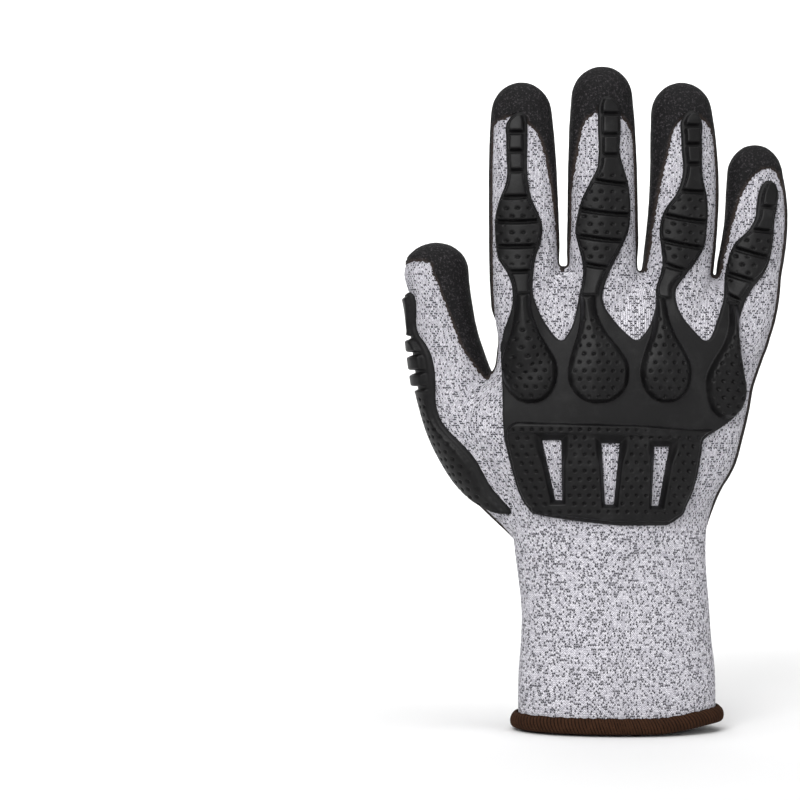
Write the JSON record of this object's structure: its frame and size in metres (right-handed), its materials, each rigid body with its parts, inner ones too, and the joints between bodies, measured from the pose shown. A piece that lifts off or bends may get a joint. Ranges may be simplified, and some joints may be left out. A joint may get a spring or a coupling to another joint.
{
  "type": "impact work glove",
  "caption": "Right-hand impact work glove: knitted shell with an open cuff, dipped grip coating on palm and fingertips, moulded rubber guards on the back of the hand, fingers and thumb.",
  "frame": {"origin": "centre of the cuff's mouth, where the hand goes in", "axes": "+Z from the cuff's mouth to the fingertips, -Y out of the back of the hand, -X towards the thumb"},
  "size_m": [0.1498, 0.0534, 0.2546],
  "materials": {
    "knit": "light grey cut-resistant knit flecked with near-black yarn",
    "coating": "near-black sandy foam nitrile, fine grain",
    "hem": "dark brown overlocked yarn",
    "guard": "satin near-black moulded thermoplastic rubber"
  },
  "bodies": {
    "root": {"knit_cuff": "knit", "knit_heel": "knit", "knit_palm": "knit", "knit_thumb": "knit", "knit_index_finger": "knit", "knit_middle_finger": "knit", "knit_ring_finger": "knit", "knit_little_finger": "knit", "grip_coating": "coating", "cuff_hem": "hem", "back_guard": "guard", "thumb_guard": "guard"}
  },
  "joints": []
}
